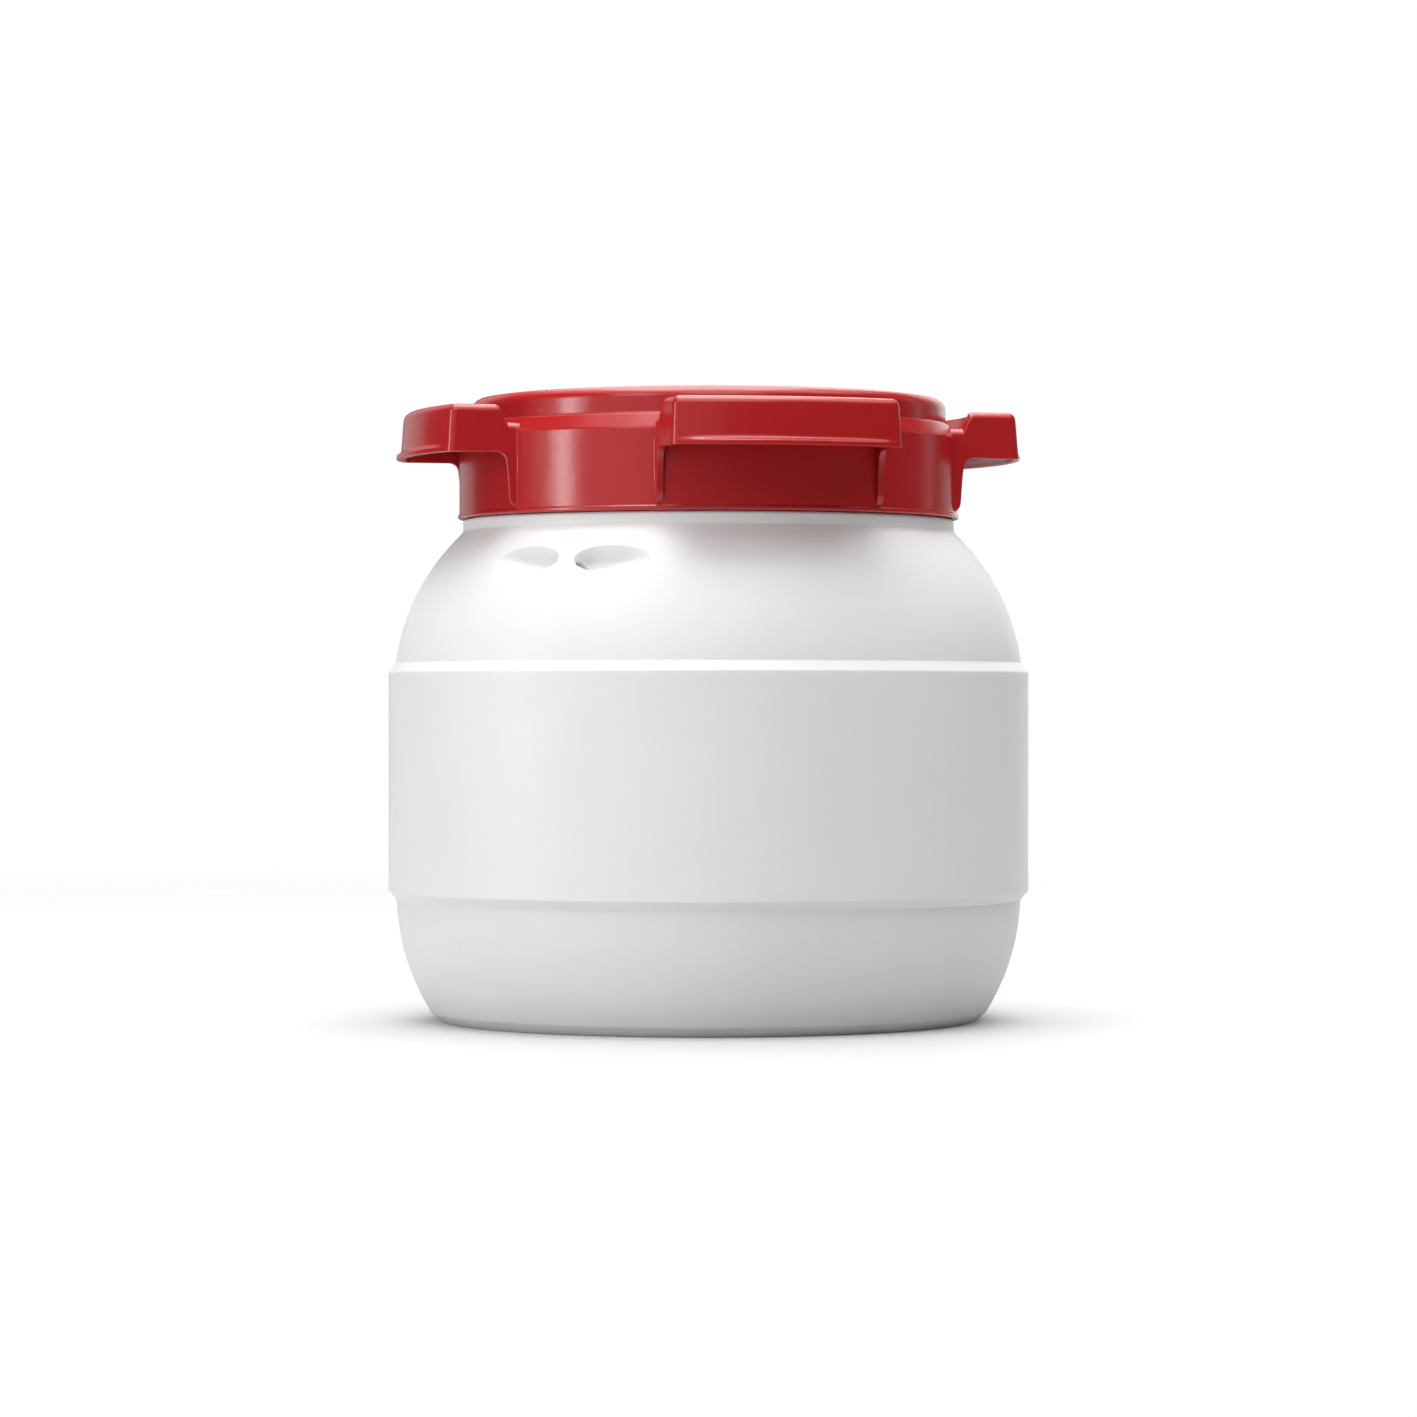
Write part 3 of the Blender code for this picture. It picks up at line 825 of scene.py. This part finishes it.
def make_lid():
    angles = np.radians(np.linspace(-180.0, 180.0, LID_COLUMNS, endpoint=False))
    lid = turned("lid", lid_line(), angles)
    tools = [make_lug(f"lug_{index}", angle) for index, angle in enumerate(LUG_ANGLES)]
    for start in range(THREAD_STARTS):
        tools.append(
            thread_ridge(
                f"lid_ridge_{start}",
                LID_BORE,
                LID_THREAD_CREST,
                NECK_THREAD_BOTTOM - LID_THREAD_DROP - THREAD_LEAD * LID_THREAD_LAG / math.tau,
                THREAD_FIRST_ANGLE + start * math.tau / THREAD_STARTS - LID_THREAD_LAG,
            )
        )
    boolean(lid, "UNION", joined("lid_tools", tools))
    smooth(lid, 30.0)
    return lid


def make_gasket():
    line = rounded(
        [
            (66.0, 179.3),
            (68.1, 179.3, 0.35),
            (68.1, 181.3, 0.35),
            (63.8, 181.3, 0.35),
            (63.8, 179.3, 0.35),
            (65.0, 179.3),
        ],
        4,
    )
    angles = np.radians(np.linspace(-180.0, 180.0, GASKET_COLUMNS, endpoint=False))
    gasket = turned("gasket", line, angles, closed_line=True)
    smooth(gasket, 50.0)
    return gasket


# --- materials --------------------------------------------------------------------------------
def new_material(name):
    material = bpy.data.materials.new(name)
    material.use_nodes = True
    nodes, links = material.node_tree.nodes, material.node_tree.links
    return material, nodes, links, nodes["Principled BSDF"]


def noise(nodes, links, place, scale, detail, roughness=0.5):
    texture = nodes.new("ShaderNodeTexNoise")
    texture.inputs["Scale"].default_value = scale
    texture.inputs["Detail"].default_value = detail
    texture.inputs["Roughness"].default_value = roughness
    links.new(place, texture.inputs["Vector"])
    return texture


def spread(nodes, links, value, low, high):
    """Maps a noise's middle range onto low to high."""
    mapper = nodes.new("ShaderNodeMapRange")
    mapper.inputs["From Min"].default_value = 0.3
    mapper.inputs["From Max"].default_value = 0.7
    mapper.inputs["To Min"].default_value = low
    mapper.inputs["To Max"].default_value = high
    links.new(value, mapper.inputs["Value"])
    return mapper.outputs["Result"]


def two_tone(nodes, links, factor, first, second):
    mix = nodes.new("ShaderNodeMix")
    mix.data_type = "RGBA"
    mix.inputs[6].default_value = (*first, 1.0)
    mix.inputs[7].default_value = (*second, 1.0)
    links.new(factor, mix.inputs[0])
    return mix.outputs[2]


def bump(nodes, links, height, distance, before=None):
    node = nodes.new("ShaderNodeBump")
    node.inputs["Strength"].default_value = 1.0
    node.inputs["Distance"].default_value = distance
    links.new(height, node.inputs["Height"])
    if before:
        links.new(before, node.inputs["Normal"])
    return node.outputs["Normal"]


def white_hdpe():
    material, nodes, links, shader = new_material("white_hdpe")
    place = nodes.new("ShaderNodeTexCoord").outputs["Object"]
    cloud = noise(nodes, links, place, scale=14.0, detail=3.0)
    pebble = noise(nodes, links, place, scale=620.0, detail=3.0, roughness=0.55)
    ripple = noise(nodes, links, place, scale=55.0, detail=2.0)
    factor = spread(nodes, links, cloud.outputs["Fac"], 0.0, 1.0)
    colour = two_tone(nodes, links, factor, (0.83, 0.83, 0.83), (0.80, 0.80, 0.795))
    links.new(colour, shader.inputs["Base Color"])
    links.new(spread(nodes, links, pebble.outputs["Fac"], 0.36, 0.45), shader.inputs["Roughness"])
    shader.inputs["IOR"].default_value = 1.5
    shader.inputs["Subsurface Weight"].default_value = 0.25
    shader.inputs["Subsurface Radius"].default_value = (1.0, 0.95, 0.9)
    shader.inputs["Subsurface Scale"].default_value = 0.004
    fine = bump(nodes, links, pebble.outputs["Fac"], 0.00004)
    links.new(bump(nodes, links, ripple.outputs["Fac"], 0.00025, fine), shader.inputs["Normal"])
    return material


def red_polypropylene():
    material, nodes, links, shader = new_material("red_polypropylene")
    place = nodes.new("ShaderNodeTexCoord").outputs["Object"]
    cloud = noise(nodes, links, place, scale=18.0, detail=3.0)
    grain = noise(nodes, links, place, scale=900.0, detail=2.0, roughness=0.6)
    ripple = noise(nodes, links, place, scale=70.0, detail=2.0)
    factor = spread(nodes, links, cloud.outputs["Fac"], 0.0, 1.0)
    colour = two_tone(nodes, links, factor, (0.44, 0.0120, 0.0140), (0.415, 0.0110, 0.0130))
    links.new(colour, shader.inputs["Base Color"])
    links.new(spread(nodes, links, grain.outputs["Fac"], 0.19, 0.26), shader.inputs["Roughness"])
    shader.inputs["IOR"].default_value = 1.49
    shader.inputs["Specular IOR Level"].default_value = 0.62
    fine = bump(nodes, links, grain.outputs["Fac"], 0.00002)
    links.new(bump(nodes, links, ripple.outputs["Fac"], 0.00012, fine), shader.inputs["Normal"])
    return material


def gasket_rubber():
    material, nodes, links, shader = new_material("gasket_rubber")
    place = nodes.new("ShaderNodeTexCoord").outputs["Object"]
    grain = noise(nodes, links, place, scale=1400.0, detail=3.0, roughness=0.65)
    cloud = noise(nodes, links, place, scale=60.0, detail=3.0)
    factor = spread(nodes, links, cloud.outputs["Fac"], 0.0, 1.0)
    colour = two_tone(nodes, links, factor, (0.60, 0.60, 0.58), (0.55, 0.55, 0.535))
    links.new(colour, shader.inputs["Base Color"])
    links.new(spread(nodes, links, grain.outputs["Fac"], 0.55, 0.75), shader.inputs["Roughness"])
    links.new(bump(nodes, links, grain.outputs["Fac"], 0.00004), shader.inputs["Normal"])
    return material


def floor_white():
    """A white floor, slightly clear, that fades out until it meets the white air with no horizon."""
    material, nodes, links, shader = new_material("studio_floor")
    place = nodes.new("ShaderNodeTexCoord").outputs["Object"]
    cloud = noise(nodes, links, place, scale=2.0, detail=2.0)
    factor = spread(nodes, links, cloud.outputs["Fac"], 0.0, 1.0)
    colour = two_tone(nodes, links, factor, (0.60, 0.60, 0.60), (0.595, 0.595, 0.60))
    links.new(colour, shader.inputs["Base Color"])
    shader.inputs["Roughness"].default_value = 0.7
    shader.inputs["Specular IOR Level"].default_value = 0.2
    distance = nodes.new("ShaderNodeVectorMath")
    distance.operation = "LENGTH"
    links.new(place, distance.inputs[0])
    fade = nodes.new("ShaderNodeMapRange")
    fade.interpolation_type = "SMOOTHSTEP"
    fade.inputs["From Min"].default_value = FLOOR_FADE_START
    fade.inputs["From Max"].default_value = FLOOR_FADE_END
    fade.inputs["To Min"].default_value = FLOOR_CLEAR
    links.new(distance.outputs["Value"], fade.inputs["Value"])
    edge = nodes.new("ShaderNodeMixShader")
    links.new(fade.outputs["Result"], edge.inputs["Fac"])
    links.new(shader.outputs["BSDF"], edge.inputs[1])
    links.new(nodes.new("ShaderNodeBsdfTransparent").outputs["BSDF"], edge.inputs[2])
    links.new(edge.outputs["Shader"], nodes["Material Output"].inputs["Surface"])
    return material


# --- studio -----------------------------------------------------------------------------------
CAMERA_LENS = 121.4
CAMERA_DISTANCE = 1.422
CAMERA_HEIGHT = 0.0925
AIR_STRENGTH = 0.07
LIGHTS_AIM = (0.0, 0.0, 0.1)
FLOOR_SIZE = 4.0
FLOOR_CLEAR = 0.14
FLOOR_FADE_START = 0.6
FLOOR_FADE_END = 1.4

# Name, bearing in degrees from the front towards +X, distance and height in metres, width and
# height of the panel in metres, and watts.
LIGHTS = (
    ("ceiling", 0.0, 0.0, 2.6, (4.0, 4.0), 66.0),
    ("overhead", -90.0, 0.05, 1.9, (1.4, 1.4), 31.0),
    ("overhead_back", 180.0, 1.4, 1.6, (1.2, 0.8), 11.0),
    ("overhead_front", 0.0, 1.2, 1.8, (1.0, 1.0), 2.8),
    ("overhead_right", 80.0, 1.1, 1.7, (0.8, 0.8), 2.0),
    ("key_left", -68.0, 1.5, 0.25, (0.22, 0.8), 5.0),
    ("key_left_wide", -78.0, 1.4, 0.4, (0.6, 0.8), 0.7),
    ("fill_left", -36.0, 1.5, 1.0, (0.6, 0.6), 2.9),
    ("fill_high", 8.0, 1.3, 1.25, (1.0, 0.6), 3.6),
    ("fill_left_low", -38.0, 1.5, 0.25, (0.9, 0.5), 0.9),
    ("fill_front", -5.0, 1.9, 0.9, (1.0, 1.0), 1.3),
    ("strip_right", 119.0, 1.4, 0.4, (0.2, 0.9), 0.3),
    ("rim_right", 138.0, 1.5, 0.4, (0.3, 1.0), 0.3),
    ("back_right", 160.0, 1.6, 0.5, (0.8, 1.2), 3.6),
    ("back_left", -150.0, 1.5, 0.5, (0.8, 1.2), 1.4),
)


def area_light(name, place, target, width, height, power):
    data = bpy.data.lights.new(name, "AREA")
    data.shape = "RECTANGLE"
    data.size, data.size_y = width, height
    data.energy = power
    light = bpy.data.objects.new(name, data)
    light.location = place
    light.rotation_euler = (Vector(target) - Vector(place)).to_track_quat("-Z", "Y").to_euler()
    bpy.context.scene.collection.objects.link(light)


def make_world():
    """White air where the camera looks at it, and a dim even light for everything else."""
    world = bpy.data.worlds.new("studio_air")
    world.use_nodes = True
    bpy.context.scene.world = world
    nodes, links = world.node_tree.nodes, world.node_tree.links
    air = nodes["Background"]
    air.inputs["Color"].default_value = (1.0, 1.0, 1.0, 1.0)
    air.inputs["Strength"].default_value = AIR_STRENGTH
    backdrop = nodes.new("ShaderNodeBackground")
    backdrop.inputs["Color"].default_value = (1.0, 1.0, 1.0, 1.0)
    rays = nodes.new("ShaderNodeLightPath")
    seen = nodes.new("ShaderNodeMixShader")
    links.new(rays.outputs["Is Camera Ray"], seen.inputs["Fac"])
    links.new(air.outputs["Background"], seen.inputs[1])
    links.new(backdrop.outputs["Background"], seen.inputs[2])
    links.new(seen.outputs["Shader"], nodes["World Output"].inputs["Surface"])


def make_floor():
    bpy.ops.mesh.primitive_plane_add(size=FLOOR_SIZE, location=(0.0, 0.0, 0.0))
    floor = bpy.context.object
    floor.name = "studio_floor"
    floor.data.materials.append(floor_white())


def make_camera():
    camera_data = bpy.data.cameras.new("camera")
    camera_data.sensor_width = 36.0
    camera_data.lens = CAMERA_LENS
    camera_data.clip_start, camera_data.clip_end = 0.05, 50.0
    camera = bpy.data.objects.new("camera", camera_data)
    camera.location = (0.0, -CAMERA_DISTANCE, CAMERA_HEIGHT)
    camera.rotation_euler = (math.pi / 2, 0.0, 0.0)
    bpy.context.scene.collection.objects.link(camera)
    bpy.context.scene.camera = camera


def make_studio():
    view = bpy.context.scene.view_settings
    view.view_transform = "Standard"
    view.look = "None"
    make_world()
    make_floor()
    for name, bearing, distance, height, size, power in LIGHTS:
        turn = math.radians(bearing)
        place = (distance * math.sin(turn), -distance * math.cos(turn), height)
        area_light(name, place, LIGHTS_AIM, *size, power)
    make_camera()


make_studio()
for builder, material, body, node, slot in (
    (make_jar, white_hdpe, "jar", "jar_body", "white_hdpe"),
    (make_lid, red_polypropylene, "lid", "screw_lid", "red_polypropylene"),
    (make_gasket, gasket_rubber, "gasket", "lid_gasket", "gasket_rubber"),
):
    piece = builder()
    piece.data.materials.clear()
    piece.data.materials.append(material())
    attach(piece, body)
    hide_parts(node)
